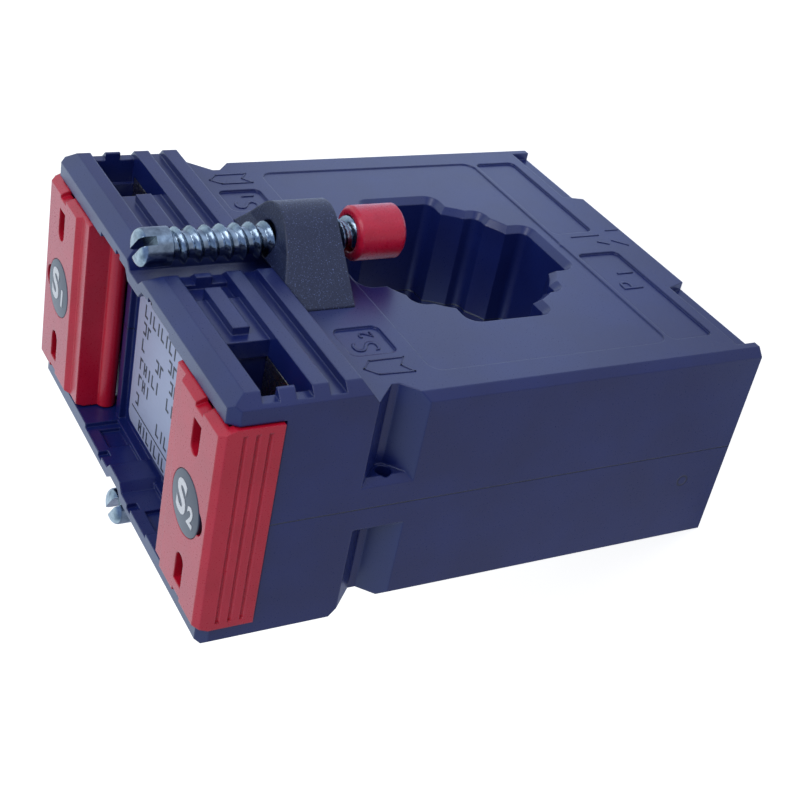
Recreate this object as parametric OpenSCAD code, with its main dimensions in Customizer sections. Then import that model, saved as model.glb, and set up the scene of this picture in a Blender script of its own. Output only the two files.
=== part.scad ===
// Window-type current transformer for bus bars and round cable, 60 mm wide.
// The window body stands on its foot face at Z = 0 with the terminal block on top.
// X runs across the width, S1 on the +X side. Y runs along the primary conductor, front at -Y.

/* [Window body] */
// Depth of the window body, both half shells together
body_d = 30; // [28:0.5:40]
// Height of the shoulder above the window's centre
shoulder_rise = 20; // [19:0.5:24]
// Wall thickness of the moulded half shells
wall = 2; // [1.6:0.1:2.2]
// Chamfer on the upright outer edges of the window body
edge_chamfer = 1; // [0.4:0.1:1.6]

/* [Window] */
// Width of the widest flat bar that the window takes, either way round
bar_w = 30; // [26:0.5:31]
// Thickness of that bar
bar_t = 10; // [8:0.5:12]
// Side of the square bar that the window takes
square_bar = 20; // [18:0.5:21]
// Diameter of the round cable that the window takes
cable_d = 26; // [22:0.5:27]
// Clearance round each conductor
window_slack = 0.6; // [0.4:0.1:0.9]
// Radius of the window's inner corners
window_corner = 1.2; // [0.4:0.1:2]
// Width and depth of the bevelled lip at each mouth of the window
mouth_lip = 1; // [0.5:0.1:1.2]

/* [Foot and shoulders] */
// Height of the rebates that leave the foot pads standing
rebate_h = 3; // [2:0.1:4]
// Depth of those rebates
rebate_d = 1.1; // [0.5:0.1:1.3]
// Half width of the middle foot pad
middle_pad = 12.4; // [8:0.1:16]
// Width of each end foot pad
end_pad = 2; // [1:0.1:4]
// Depth of the V notches in the shoulders
notch_d = 3; // [2:0.1:3.2]
// Drop of the shoulder below its height at the side, where the notch runs out
notch_drop = 0.8; // [0:0.1:1.2]
// Half depth of the bridge that is left between a shoulder's two notches
bridge_hd = 3.85; // [3:0.05:6]
// Chamfer on the bridge's upright edges
bridge_chamfer = 0.85; // [0.3:0.05:1.2]
// Radius of the bracket peg holes through the bridges
peg_hole_r = 1; // [0.6:0.05:1]

/* [Terminal block] */
// Overhang of the terminal block past the body's front and rear faces
block_over = 2.5; // [2:0.1:4]
// Room above the terminal screws' heads, up to the block's rim
head_room = 1.3; // [0.8:0.1:2.5]
// Thickness of the block's front wall in front of the terminal chambers
block_wall = 3.3; // [3:0.1:3.8]
// Chamfer on the block's upright corners
block_chamfer = 1.4; // [0.6:0.1:2]
// Width of each grip groove across the block
groove_w = 2; // [1.6:0.1:2.1]
// Depth of the grip grooves
groove_d = 1; // [0.5:0.1:1.3]
// Width of a wire entry
entry_w = 10.4; // [9:0.1:10.6]
// Half width of the screw trough at the block's face
trough_hw = 4.15; // [3.8:0.05:4.4]
// Half width of the trough's floor
trough_floor = 1.5; // [0.8:0.05:2.5]

/* [Terminals] */
// Thickness of the terminal rails
rail_t = 2.5; // [2:0.1:3]
// Radius of the terminal screws' shanks
term_r = 2; // [1.5:0.05:2.1]
// Radius of the terminal screws' heads
term_head_r = 3.4; // [3:0.05:3.6]
// Height of those heads
term_head_h = 2.3; // [1.5:0.1:2.4]
// Room between a clamp plate and the block's front or rear wall
plate_room = 0.85; // [0.4:0.05:1.5]
// Thickness of the clamp plates
clamp_t = 1.2; // [0.8:0.1:1.4]
// Side of the square clamp plates
clamp_w = 7.7; // [7.2:0.1:7.8]
// Free travel of the clamp plates
clamp_travel = 4.5; // [3:0.1:4.6]

/* [Covers] */
// Thickness of the hinged covers
cover_t = 1.4; // [1:0.1:1.6]
// Height of the covers above the rim
cover_rise = 0.9; // [0.5:0.1:1.4]
// Height of the step from the covers' tops down to the hinge side
cover_step = 0.7; // [0.4:0.1:0.9]
// Length of the skirt that hangs down the block's side
skirt_h = 7.4; // [6.6:0.1:8]
// Radius of the hinge bead
bead_r = 1.3; // [1.1:0.05:1.4]
// Radius of the hinge pins
pin_r = 0.9; // [0.6:0.05:1]
// Radius of the round terminal markers
disc_r = 4; // [3:0.1:4.4]
// Thickness of the markers
disc_t = 0.6; // [0.4:0.1:0.8]

/* [Conductor clamps] */
// Distance of the clamp screws' axes from the body's faces
clamp_reach = 4.1; // [4.1:0.1:5]
// Half width of a clip at its base
clip_hw = 10.7; // [9:0.1:12]
// Radius of the clip's rounded nose
clip_r = 4.6; // [4.3:0.1:5]
// Height of the clip
clip_h = 8.5; // [7:0.1:9]
// Radius of the clamp screws over the thread
screw_r = 2.3; // [1.8:0.05:2.4]
// Radius of their heads
head_r = 2.4; // [2.4:0.05:3]
// Height of their heads
head_h = 4.1; // [3.4:0.1:4.6]
// Radius of the pressure caps
cap_r = 3.5; // [3:0.1:3.9]
// Height of the pressure caps
cap_h = 6.6; // [5:0.1:7.2]

/* [Winding] */
// Radial build of the strip core
core_build = 4.6; // [3.6:0.1:8]
// Thickness of the tape round the winding
tape_t = 0.4; // [0.2:0.1:0.5]
// Thickness of the secondary winding
wire_t = 1.2; // [0.8:0.1:1.4]
// Thickness of the insulating cups round the core
cup_t = 0.8; // [0.5:0.1:1]
// Radius of the secondary leads
lead_r = 0.8; // [0.5:0.05:1]

/* [Hidden] */
$fn = 64;
eps = 0.01;

// Clearances
seat = 0.1;          // between pieces that are put together once
run = 0.06;          // radial, between a turning shank and its hole
swing = 0.2;         // beside the hinged covers
slide_gap = 0.25;    // between a sliding piece and the wall beside it

// Window body
hd = body_d/2;
room_y = hd - wall;                     // inner face of the front wall
arm_l = bar_w/2 + window_slack;         // half length of a bar's cut
arm_t = bar_t/2 + window_slack;
square_h = square_bar/2 + window_slack;
round_r = cable_d/2 + window_slack;
tube_wall = 1.4;
tube_r = ceil(2*(max(norm([arm_l, arm_t]), norm([square_h, square_h]), round_r) + tube_wall))/2;

// Winding
ring_gap = 0.2;
tape_ri = tube_r + ring_gap;
core_ri = tape_ri + tape_t + wire_t + cup_t;
core_ro = core_ri + core_build;
tape_ro = core_ro + cup_t + wire_t + tape_t;
tape_y = room_y - ring_gap;
core_y = tape_y - tape_t - wire_t - cup_t;
winding_gap = 1.5;                      // half width of the sector left bare at the foot
cradle_r = tube_r + 2;                  // middle of the cradle ribs round the winding
rib_t = 1.2;
rib_drop = 4;                           // the upper cradle ribs sit lower by this

// Outer shape of the window body
hw = tape_ro + 2*ring_gap + wall;
window_z = hw;
body_h = window_z + shoulder_rise;
field_hw = hw - 4.5;                    // shallow field round the window's mouth
field_z0 = window_z - arm_l - mouth_lip - 1.3;
field_z1 = window_z + arm_l + mouth_lip + 0.1;
field_r = 1.8;
panel_d = 0.3;                          // depth of the moulded panels
panel_r = 1;
foot_panel_x = 2.9;
foot_panel_in = 4.8;
foot_panel_z = 4.7;
foot_panel_h = 6.8;
side_panel_in = 9.1;
side_panel_w = 6;
side_panel_z = 1.2;
side_panel_h = 6.1;
neck_rise = 6;
neck_slope = 2;
foot_panel = [foot_panel_x, hw - foot_panel_in, foot_panel_z, foot_panel_z + foot_panel_h];
side_panel = [hw - side_panel_in - side_panel_w, hw - side_panel_in,
    body_h - side_panel_z, body_h - side_panel_z + side_panel_h];

// Terminal block
block_hd = hd + block_over;
neck_z = body_h + neck_rise;            // top of the notches
block_z = neck_z + neck_slope;          // foot of the block's face
rim_y = block_hd - 1.35;                // outer edge of the rim
well_y = block_hd - block_wall;         // inner face of the front and rear walls
groove_pitch = 4;
entry_z = block_z + 3*groove_pitch/2;   // sill of a wire entry
entry_h = groove_pitch + groove_w;
entry_out = hw - 1.8;
entry_in = entry_out - entry_w;
trough_y = block_hd - 2.35;             // floor of the screw trough
pocket_x = trough_hw + 0.85;            // blind pocket beside the trough
pocket_w = 2.4;
pocket_step = 1;
pocket_y = block_hd - 1.6;

// Terminals
chamber_in = entry_in - 0.4;
chamber_out = hw - 2.3;
chamber_z = entry_z - rail_t;           // floor of the terminal chambers
term_x = chamber_out - slide_gap - clamp_w/2;
term_y = well_y - plate_room - clamp_w/2;
clamp_z = entry_z + entry_h - 1.1;      // underside of a clamp plate, open
head_z = clamp_z + clamp_t;
rim_z = head_z + term_head_h + head_room;
land_z = rim_z - 1.9;                   // top of the block's face
shank_z = entry_z - 3.2;                // tip of a terminal screw, open
tip_well_z = shank_z - clamp_travel - 0.6;
rail_in = chamber_in + seat;
rail_out = chamber_out - seat;

// Covers
cover_top = rim_z + cover_rise;
cover_hd = well_y - swing;
cover_in = chamber_in - 1.5;            // inner face of a cover
cover_out = hw + 0.4;
cover_skin = 1.2;                       // thickness of the skirt and of the web
step_x = chamber_in + 1.6;              // where the cover steps down towards its hinge
hinge_x = cover_in + 0.3;
hinge_z = cover_top - 5;
side_y = hw - 1.1;                      // block's side, set back under the skirt
skirt_z = cover_top - skirt_h;
disc_in = 6;
disc_x = hw - disc_in;
end_slant = [0.8, 1.8];                 // bevel on the covers' ends
slot_x = hw - 5.6;                      // driver slots and end notches
slot_hw = 1.1;
slot_y = [term_y - 2.5, term_y + 1.8];
nose_x = hw - 2.6;                      // slot behind a marker
nose_r = 1.6;
groove_z = 1.55;                        // lowest skirt groove above the skirt's edge
groove_step = 1.5;

// Well between the covers
label_z = hinge_z - bead_r - 0.3;       // floor of the well
label_w = 2*(hinge_x - 5.8);
label_t = 0.4;
label_d = 2*well_y - 3.2;
label_r = 1.2;
rib_x = hinge_x - 3.8;
rib_w = 1.4;
recess_x = rib_x - 0.4;                 // the wall behind the label is thinner above a ledge
recess_y = well_y + 0.6;
ledge_z = label_z + 1.2;
bulge_y = trough_y - 1.5;               // inner face of the wall behind the screw trough
bulge_hw = trough_floor + 0.4;
rim_notch = [5.1, 6.4, 0.6, 1.3];       // from X, to X, depth, height

// Conductor clamps
clamp_y = hd + clamp_reach;
clip_z = body_h - 0.5;
cap_z = clip_z - 3.5 - cap_h;           // underside of a pressure cap at rest
cap_floor = 1.6;
clamp_head_z = rim_z - 3.9;             // underside of a clamp screw's head
clamp_slot = [1.1, 2];                  // width and depth of the slot in that head
clip_peg_x = 6.5;
clip_peg_r = 1.4;

// Leads
lead_x = 6;
lead_z = chamber_z + rail_t/2;

// ---- Shared shapes ----

// Rectangle with rounded corners, centred
module round_rect(w, h, r) {
    square([w - 2*r, h], center = true);
    square([w, h - 2*r], center = true);
    for (x = [-1, 1], y = [-1, 1]) translate([x*(w/2 - r), y*(h/2 - r)]) circle(r);
}

// Outline in X and Z, extruded from y0 to y1
module across(y0, y1) {
    translate([0, y1, 0]) rotate([90, 0, 0]) linear_extrude(y1 - y0) children();
}

// Outline in Y and Z, extruded from x0 to x1
module along_x(x0, x1) {
    translate([x0, 0, 0]) rotate([90, 0, 90]) linear_extrude(x1 - x0) children();
}

// The child on both sides of the X = 0 plane
module both_sides() {
    children();
    mirror([1, 0, 0]) children();
}

module box(x0, x1, y0, y1, z0, z1) {
    translate([x0, y0, z0]) cube([x1 - x0, y1 - y0, z1 - z0]);
}

// Rectangle from x0 to x1 and y0 to y1 with rounded corners
module panel(p, r) {
    translate([(p[0] + p[1])/2, (p[2] + p[3])/2]) round_rect(p[1] - p[0], p[3] - p[2], r);
}

// Tube of rectangular section round the window's axis
module ring(ri, ro, y0, y1) {
    translate([0, y1, window_z]) rotate([90, 0, 0]) difference() {
        cylinder(h = y1 - y0, r = ro);
        translate([0, 0, -1]) cylinder(h = y1 - y0 + 2, r = ri);
    }
}

// Round bar along Y
module y_bar(x, z, r, y0, y1) {
    translate([x, y1, z]) rotate([90, 0, 0]) cylinder(h = y1 - y0, r = r);
}

// ---- Housing, modelled once as the front half ----

module window_outline() {
    translate([0, window_z]) {
        round_rect(2*arm_l, 2*arm_t, window_corner);
        round_rect(2*arm_t, 2*arm_l, window_corner);
        round_rect(2*square_h, 2*square_h, window_corner);
        circle(round_r);
    }
}

// Bevelled mouth of one rectangular cut
module mouth(w, h) {
    hull() {
        across(-hd - eps, -hd) translate([0, window_z])
            round_rect(w + 2*mouth_lip, h + 2*mouth_lip, window_corner + mouth_lip, $fn = 32);
        across(-hd + mouth_lip, -hd + mouth_lip + eps) translate([0, window_z])
            round_rect(w, h, window_corner, $fn = 32);
    }
}

module window_cut() {
    across(-hd - 1, 1) window_outline();
    mouth(2*arm_l, 2*arm_t);
    mouth(2*arm_t, 2*arm_l);
    mouth(2*square_h, 2*square_h);
    translate([0, -hd + mouth_lip, window_z]) rotate([90, 0, 0])
        cylinder(h = mouth_lip + eps, r1 = round_r, r2 = round_r + mouth_lip + eps);
}

module window_body() {
    linear_extrude(neck_z)
        polygon([[-hw, 0], [-hw, edge_chamfer - hd], [edge_chamfer - hw, -hd],
            [hw - edge_chamfer, -hd], [hw, edge_chamfer - hd], [hw, 0]]);
}

// Block with its sloped underside, bevelled rim and chamfered corners
module terminal_block() {
    intersection() {
        along_x(-hw, hw)
            polygon([[0, neck_z - 1], [-hd, neck_z - 1], [-hd, neck_z], [-block_hd, block_z],
                [-block_hd, land_z], [-rim_y, rim_z], [0, rim_z]]);
        linear_extrude(rim_z)
            polygon([[-hw, 0], [-hw, block_chamfer - block_hd], [block_chamfer - hw, -block_hd],
                [hw - block_chamfer, -block_hd], [hw, block_chamfer - block_hd], [hw, 0]]);
        across(-block_hd, 0)
            polygon([[-hw, 0], [-hw, rim_z - 1.3], [1 - hw, rim_z],
                [hw - 1, rim_z], [hw, rim_z - 1.3], [hw, 0]]);
    }
}

// Room for the wound core, with the window tube and the cradle ribs left standing
module winding_room() {
    difference() {
        union() {
            box(wall - hw, hw - wall, -room_y, 1, wall, body_h - wall);
            box(notch_d + wall - hw, hw - notch_d - wall, -room_y, 1, wall, chamber_z - wall);
            box(wall - chamber_in, chamber_in - wall, -room_y, 1, wall, label_z - wall);
        }
        across(-hd, 2) translate([0, window_z]) circle(tube_r);
        difference() {
            both_sides() {
                box(cradle_r - rib_t/2, cradle_r + rib_t/2, -hd, 0, 0, 2*window_z);
                for (z = [window_z - cradle_r, window_z + cradle_r - rib_drop])
                    box(0, hw, -hd, 0, z - rib_t/2, z + rib_t/2);
            }
            across(-hd - 1, 1) translate([0, window_z]) circle(tape_ro + ring_gap);
            box(-entry_in, entry_in, -hd, 1, body_h, rim_z);
        }
        both_sides() translate([term_x, -term_y, tip_well_z - 1.2])
            cylinder(h = rim_z, r = term_r + 1.8);
    }
}

// V notch in a shoulder, above the bridge whose upright edge it chamfers
module shoulder_notch() {
    intersection() {
        across(-hd - 1, bridge_chamfer + 1 - bridge_hd)
            polygon([[hw + 1, neck_z + 1], [hw - notch_d, neck_z - notch_d], [hw - notch_d, body_h + 2],
                [hw + 1, body_h - notch_drop - (2 + notch_drop)/notch_d]]);
        linear_extrude(rim_z)
            polygon([[0, -hd - 2], [0, -bridge_hd], [hw - bridge_chamfer, -bridge_hd],
                [hw + 1, bridge_chamfer + 1 - bridge_hd], [hw + 1, -hd - 2]]);
    }
}

module foot_rebate() {
    across(-hd - 1, rebate_d - hd)
        polygon([[middle_pad, -1], [middle_pad, 0], [middle_pad + 1, rebate_h],
            [hw - end_pad, rebate_h], [hw - end_pad, -1]]);
}

// Shallow panels moulded into the front face
module face_panels() {
    across(-hd - 1, panel_d - hd) {
        panel(foot_panel, panel_r);
        panel(side_panel, panel_r);
    }
    across(-hd - 1, panel_d/2 - hd) panel([-1, field_hw, field_z0, field_z1], field_r);
}

module grip_grooves() {
    for (i = [0:2])
        box(-hw - 1, hw + 1, -block_hd - 1, groove_d - block_hd,
            block_z + groove_pitch/2 + i*groove_pitch,
            block_z + groove_pitch/2 + i*groove_pitch + groove_w);
}

module wire_entry() {
    box(entry_in, entry_out, -block_hd - 1, 1 - well_y, entry_z, entry_z + entry_h);
    box(entry_in - 1.5, entry_out, -block_hd - 1, groove_d - block_hd,
        entry_z + groove_w, entry_z + groove_pitch);
    // blind pocket beside the screw trough
    box(pocket_x, pocket_x + pocket_w, -block_hd - 1, -pocket_y, entry_z, entry_z + entry_h);
    for (z = [entry_z, entry_z + groove_pitch])
        box(pocket_x, pocket_x + pocket_w + pocket_step, -block_hd - 1, -pocket_y, z, z + groove_w);
}

module screw_trough() {
    slope = (trough_hw - trough_floor)/(block_hd - trough_y);
    translate([0, 0, neck_z - 2]) linear_extrude(rim_z)
        polygon([[-trough_floor, -trough_y], [-trough_hw - slope, -block_hd - 1],
            [trough_hw + slope, -block_hd - 1], [trough_floor, -trough_y]]);
}

// Terminal chamber, cover seat and hinge bore of one side
module chamber() {
    box(chamber_in, chamber_out, -well_y, 1, chamber_z, rim_z + 1);
    box(-1, chamber_in + 1, -well_y, 1, label_z, rim_z + 1);
    box(side_y, hw + 1, -well_y, 1, skirt_z - 0.25, rim_z + 1);
    box(chamber_in, hw + 1, -well_y, 1, rim_z - 1.3, rim_z + 1);
    translate([term_x, -term_y, tip_well_z]) cylinder(h = rim_z, r = term_r + 0.6);
    y_bar(hinge_x, hinge_z, pin_r + run, -well_y - 1, 0);
    // way for the secondary lead
    box(0, chamber_in + 1, -lead_r - seat, 1, lead_z - lead_r - seat, lead_z + lead_r + seat);
}

// Thinner wall behind the label, with a shallow pocket and a notch in the rim
module well_recess() {
    box(-1, recess_x, -recess_y, 1, ledge_z, rim_z + 1);
    box(recess_x - 5, recess_x - 1, 0.5 - recess_y - 1, 1, ledge_z, ledge_z + 2.8);
    box(rim_notch[0], rim_notch[1], -recess_y - rim_notch[2], 1, rim_z - rim_notch[3], rim_z + 1);
}

// Wall behind the screw trough, inside the well
module trough_bulge() {
    translate([0, 0, label_z - eps]) linear_extrude(rim_z - label_z + eps)
        polygon([[-bulge_hw - 1, -recess_y - 0.1], [-bulge_hw - 1, -recess_y], [-bulge_hw, -bulge_y],
            [bulge_hw, -bulge_y], [bulge_hw + 1, -recess_y], [bulge_hw + 1, -recess_y - 0.1]]);
}

module half_shell() {
    difference() {
        union() {
            window_body();
            terminal_block();
        }
        window_cut();
        winding_room();
        grip_grooves();
        screw_trough();
        both_sides() {
            shoulder_notch();
            foot_rebate();
            face_panels();
            wire_entry();
            chamber();
            well_recess();
            y_bar(hw - 1.7, body_h + 2.5, peg_hole_r, -hd, 1);
            y_bar(clip_peg_x, clip_z + 3.5, clip_peg_r + seat/2, -hd - 1, 0);
        }
    }
    trough_bulge();
    both_sides() box(rib_x, rib_x + rib_w, -well_y, 0, label_z - eps, label_z + 0.9);
}

// ---- Conductor clamp, modelled once as the front one ----

// Point where the flank from the base corner touches the nose
function tangent(p, c, r) = let(d = p - c, l = norm(d), a = atan2(d.y, d.x), b = acos(r/l))
    c + r*[cos(a - b), sin(a - b)];

module clip_body() {
    nose = [0, -clamp_y];
    foot = [clip_hw, -hd];
    touch = tangent(foot, nose, clip_r);
    difference() {
        union() {
            intersection() {
                translate([0, 0, clip_z]) linear_extrude(clip_h + 1) {
                    translate(nose) circle(clip_r);
                    polygon([foot, touch, nose, [-touch.x, touch.y], [-foot.x, foot.y]]);
                }
                along_x(-clip_hw, clip_hw)
                    polygon([[-hd, clip_z], [-hd, neck_z], [-block_hd, block_z],
                        [-clamp_y - 0.7, block_z - 0.9], [-clamp_y - clip_r, block_z - 1.6],
                        [-clamp_y - clip_r, clip_z]]);
            }
            both_sides() y_bar(clip_peg_x, clip_z + 3.5, clip_peg_r, -hd - 1, seat - room_y - 2*seat);
        }
        translate([0, -clamp_y, clip_z - 1]) cylinder(h = clip_h + 3, r = screw_r + run);
    }
}

module pressure_cap() {
    c = 0.4;
    translate([0, -clamp_y, cap_z]) difference() {
        union() {
            cylinder(h = c, r1 = cap_r - c, r2 = cap_r);
            translate([0, 0, c]) cylinder(h = cap_h - 2*c, r = cap_r);
            translate([0, 0, cap_h - c]) cylinder(h = c, r1 = cap_r, r2 = cap_r - c);
        }
        translate([0, 0, cap_floor]) cylinder(h = cap_h, r = screw_r + run);
    }
}

module clamp_screw() {
    c = 0.7;
    tip = cap_z + cap_floor + seat;
    translate([0, -clamp_y, 0]) difference() {
        union() {
            translate([0, 0, tip]) cylinder(h = clamp_head_z - tip, r = screw_r);
            translate([0, 0, clamp_head_z]) cylinder(h = head_h - c, r = head_r);
            translate([0, 0, clamp_head_z + head_h - c]) cylinder(h = c, r1 = head_r, r2 = head_r - c);
        }
        translate([-head_r - 1, -clamp_slot[0]/2, clamp_head_z + head_h - clamp_slot[1]])
            cube([2*head_r + 2, clamp_slot[0], clamp_slot[1] + 1]);
    }
}

// ---- Terminal parts of the S1 side ----

module rail() {
    difference() {
        box(rail_in, rail_out, -well_y + seat, well_y - seat, chamber_z, entry_z);
        for (y = [-term_y, term_y]) translate([term_x, y, chamber_z - 1])
            cylinder(h = rail_t + 2, r = term_r + run);
    }
}

module clamp_plate() {
    difference() {
        box(term_x - clamp_w/2, term_x + clamp_w/2, -term_y - clamp_w/2, -term_y + clamp_w/2,
            clamp_z, clamp_z + clamp_t);
        translate([term_x, -term_y, clamp_z - 1]) cylinder(h = clamp_t + 2, r = term_r + run);
    }
}

module terminal_screw() {
    translate([term_x, -term_y, 0]) difference() {
        union() {
            translate([0, 0, shank_z]) cylinder(h = head_z - shank_z, r = term_r);
            translate([0, 0, head_z]) cylinder(h = term_head_h, r = term_head_r);
        }
        translate([-term_head_r - 1, -0.5, head_z + term_head_h - 1.1])
            cube([2*term_head_r + 2, 1, 2]);
    }
}

// Section of a hinged cover: hinge web, step, top and skirt
module cover_section() {
    side = 0.7;
    z1 = cover_top - cover_step;
    polygon([[cover_in, hinge_z], [cover_in, z1], [step_x - side, z1], [step_x, cover_top],
        [cover_out - side, cover_top], [cover_out, cover_top - side], [cover_out, skirt_z],
        [cover_out - cover_skin, skirt_z], [cover_out - cover_skin, cover_top - cover_t],
        [step_x, cover_top - cover_t], [step_x - side, z1 - cover_t],
        [cover_in + cover_skin, z1 - cover_t], [cover_in + cover_skin, hinge_z]]);
}

// Hinged cover with bevelled ends, skirt grooves, marker seat and driver slots
module cover() {
    cut_z = cover_top - cover_t - 1;
    difference() {
        union() {
            intersection() {
                across(-cover_hd, cover_hd) cover_section();
                along_x(cover_in - 1, cover_out + 1)
                    polygon([[-cover_hd, skirt_z - 1], [-cover_hd, cover_top - end_slant[1]],
                        [end_slant[0] - cover_hd, cover_top], [cover_hd - end_slant[0], cover_top],
                        [cover_hd, cover_top - end_slant[1]], [cover_hd, skirt_z - 1]]);
            }
            y_bar(hinge_x, hinge_z, bead_r, -cover_hd, cover_hd);
            y_bar(hinge_x, hinge_z, pin_r, -well_y - 0.8, well_y + 0.8);
        }
        // grip grooves along the skirt
        for (i = [0:2]) translate([cover_out, 0, skirt_z + groove_z + groove_step*i])
            across(0.9 - cover_hd, cover_hd - 0.9) polygon([[0.35, -0.6], [-0.35, 0], [0.35, 0.6]]);
        // marker seat and the slot behind it
        translate([disc_x, 0, cover_top - disc_t + 0.1]) cylinder(h = 2, r = disc_r + seat/2);
        box(disc_x, nose_x, -nose_r, nose_r, cut_z, cover_top + 1);
        translate([nose_x, 0, cut_z]) cylinder(h = cover_t + 2, r = nose_r);
        for (m = [0, 1]) mirror([0, m, 0]) {
            // driver slot over the terminal screw, round towards the marker
            box(slot_x - slot_hw, slot_x + slot_hw, slot_y[0] + slot_hw, slot_y[1], cut_z, cover_top + 1);
            translate([slot_x, slot_y[0] + slot_hw, cut_z]) cylinder(h = cover_t + 2, r = slot_hw);
            // notch in the end, with a slanted floor
            along_x(slot_x - slot_hw, slot_x + slot_hw)
                polygon([[cover_hd - 0.6, cut_z], [cover_hd - 1.3, cover_top + eps],
                    [cover_hd + 1, cover_top + eps], [cover_hd + 1, cut_z]]);
        }
    }
}

module marker() {
    translate([disc_x, 0, cover_top - disc_t + 0.1]) cylinder(h = disc_t, r = disc_r);
}

// Lead from the winding up and out to the rail
module lead() {
    foot_z = window_z + sqrt(pow(tape_ro - tape_t, 2) - pow(lead_x, 2)) + seat;
    translate([lead_x, 0, foot_z]) cylinder(h = lead_z - foot_z, r = lead_r);
    translate([lead_x, 0, lead_z]) sphere(lead_r);
    translate([lead_x, 0, lead_z]) rotate([0, 90, 0]) cylinder(h = rail_in - lead_x, r = lead_r);
}

// ---- Sub-parts ----

module front_shell() color("#2b3047") half_shell();
module rear_shell() color("#262a3e") mirror([0, 1, 0]) half_shell();

module strip_core() color("#8d9096") ring(core_ri, core_ro, -core_y, core_y);

module front_core_cup() color("#d9d4c0") difference() {
    ring(core_ri - cup_t, core_ro + cup_t, -core_y - cup_t, 0);
    ring(core_ri, core_ro, -core_y, 1);
}
module rear_core_cup() color("#d9d4c0") mirror([0, 1, 0]) front_core_cup();

// Wound round all but a narrow sector at the foot
module secondary_winding() color("#b8692f") difference() {
    ring(core_ri - cup_t - wire_t, core_ro + cup_t + wire_t,
        -core_y - cup_t - wire_t, core_y + cup_t + wire_t);
    ring(core_ri - cup_t, core_ro + cup_t, -core_y - cup_t, core_y + cup_t);
    box(-winding_gap, winding_gap, -hd, hd, 0, window_z);
}

module winding_tape() color("#e8e2a8") difference() {
    ring(tape_ri, tape_ro, -tape_y, tape_y);
    ring(tape_ri + tape_t, tape_ro - tape_t, -tape_y + tape_t, tape_y - tape_t);
    both_sides() translate([lead_x, 0, window_z]) cylinder(h = tape_ro, r = lead_r + seat);
}

module lead_s1() color("#b8692f") lead();
module lead_s2() color("#b8692f") mirror([1, 0, 0]) lead();

module rail_s1() color("#c9c7bd") rail();
module rail_s2() color("#c9c7bd") mirror([1, 0, 0]) rail();

module clamp_plate_s1_front() color("#c4c6c8") clamp_plate();
module clamp_plate_s1_rear() color("#c4c6c8") mirror([0, 1, 0]) clamp_plate();
module clamp_plate_s2_front() color("#c4c6c8") mirror([1, 0, 0]) clamp_plate();
module clamp_plate_s2_rear() color("#c4c6c8") mirror([1, 0, 0]) mirror([0, 1, 0]) clamp_plate();

module terminal_screw_s1_front() color("#c8cacc") terminal_screw();
module terminal_screw_s1_rear() color("#c8cacc") mirror([0, 1, 0]) terminal_screw();
module terminal_screw_s2_front() color("#c8cacc") mirror([1, 0, 0]) terminal_screw();
module terminal_screw_s2_rear() color("#c8cacc") mirror([1, 0, 0]) mirror([0, 1, 0]) terminal_screw();

module cover_s1() color("#c22b3c") cover();
module cover_s2() color("#c22b3c") mirror([1, 0, 0]) cover();
module marker_s1() color("#3c4356") marker();
module marker_s2() color("#3c4356") mirror([1, 0, 0]) marker();

module rating_label() color("#c9cfe0") translate([0, 0, label_z]) linear_extrude(label_t)
    round_rect(label_w, label_d, label_r);

module front_clip() color("#23263a") clip_body();
module rear_clip() color("#23263a") mirror([0, 1, 0]) clip_body();
module front_cap() color("#cf2f3e") pressure_cap();
module rear_cap() color("#cf2f3e") mirror([0, 1, 0]) pressure_cap();
module front_clamp_screw() color("#c3cad6") clamp_screw();
module rear_clamp_screw() color("#c3cad6") mirror([0, 1, 0]) clamp_screw();

front_shell();
rear_shell();
strip_core();
front_core_cup();
rear_core_cup();
secondary_winding();
winding_tape();
lead_s1();
lead_s2();
rail_s1();
rail_s2();
clamp_plate_s1_front();
clamp_plate_s1_rear();
clamp_plate_s2_front();
clamp_plate_s2_rear();
terminal_screw_s1_front();
terminal_screw_s1_rear();
terminal_screw_s2_front();
terminal_screw_s2_rear();
cover_s1();
cover_s2();
marker_s1();
marker_s2();
rating_label();
front_clip();
rear_clip();
front_cap();
rear_cap();
front_clamp_screw();
rear_clamp_screw();
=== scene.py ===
"""Dresses a window-type current transformer: finishes for its moulded, wound and plated parts, and the
threads, print and marks that its solids leave out. Every size is in metres."""

import math

import bmesh
import bpy
from mathutils import Matrix, Vector


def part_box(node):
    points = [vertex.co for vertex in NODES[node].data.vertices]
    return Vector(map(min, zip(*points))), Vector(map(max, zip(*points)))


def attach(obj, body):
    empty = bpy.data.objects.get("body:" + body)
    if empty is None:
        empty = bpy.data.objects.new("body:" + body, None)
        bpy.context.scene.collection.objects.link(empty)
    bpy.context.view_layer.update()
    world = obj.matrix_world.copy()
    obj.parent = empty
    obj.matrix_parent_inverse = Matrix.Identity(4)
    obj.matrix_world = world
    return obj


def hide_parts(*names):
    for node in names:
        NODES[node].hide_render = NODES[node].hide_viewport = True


bl_info = {
    "name": "Window current transformer",
    "version": (1, 0, 0),
    "blender": (4, 5, 0),
    "location": "3D View > Sidebar > Transformer",
    "description": "Finishes, threads, print and stage for a window-type current transformer",
    "category": "Object",
}

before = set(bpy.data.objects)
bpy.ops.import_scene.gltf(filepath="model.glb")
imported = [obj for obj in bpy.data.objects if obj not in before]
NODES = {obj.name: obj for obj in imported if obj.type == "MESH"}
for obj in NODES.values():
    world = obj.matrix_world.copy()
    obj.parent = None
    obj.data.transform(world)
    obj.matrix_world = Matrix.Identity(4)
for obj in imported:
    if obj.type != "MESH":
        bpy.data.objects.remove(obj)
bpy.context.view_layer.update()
MM = 0.001
SIDES = ("s1", "s2")
ENDS = {"front": -1, "rear": 1}
WINDOW_Z = 0.03

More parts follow.
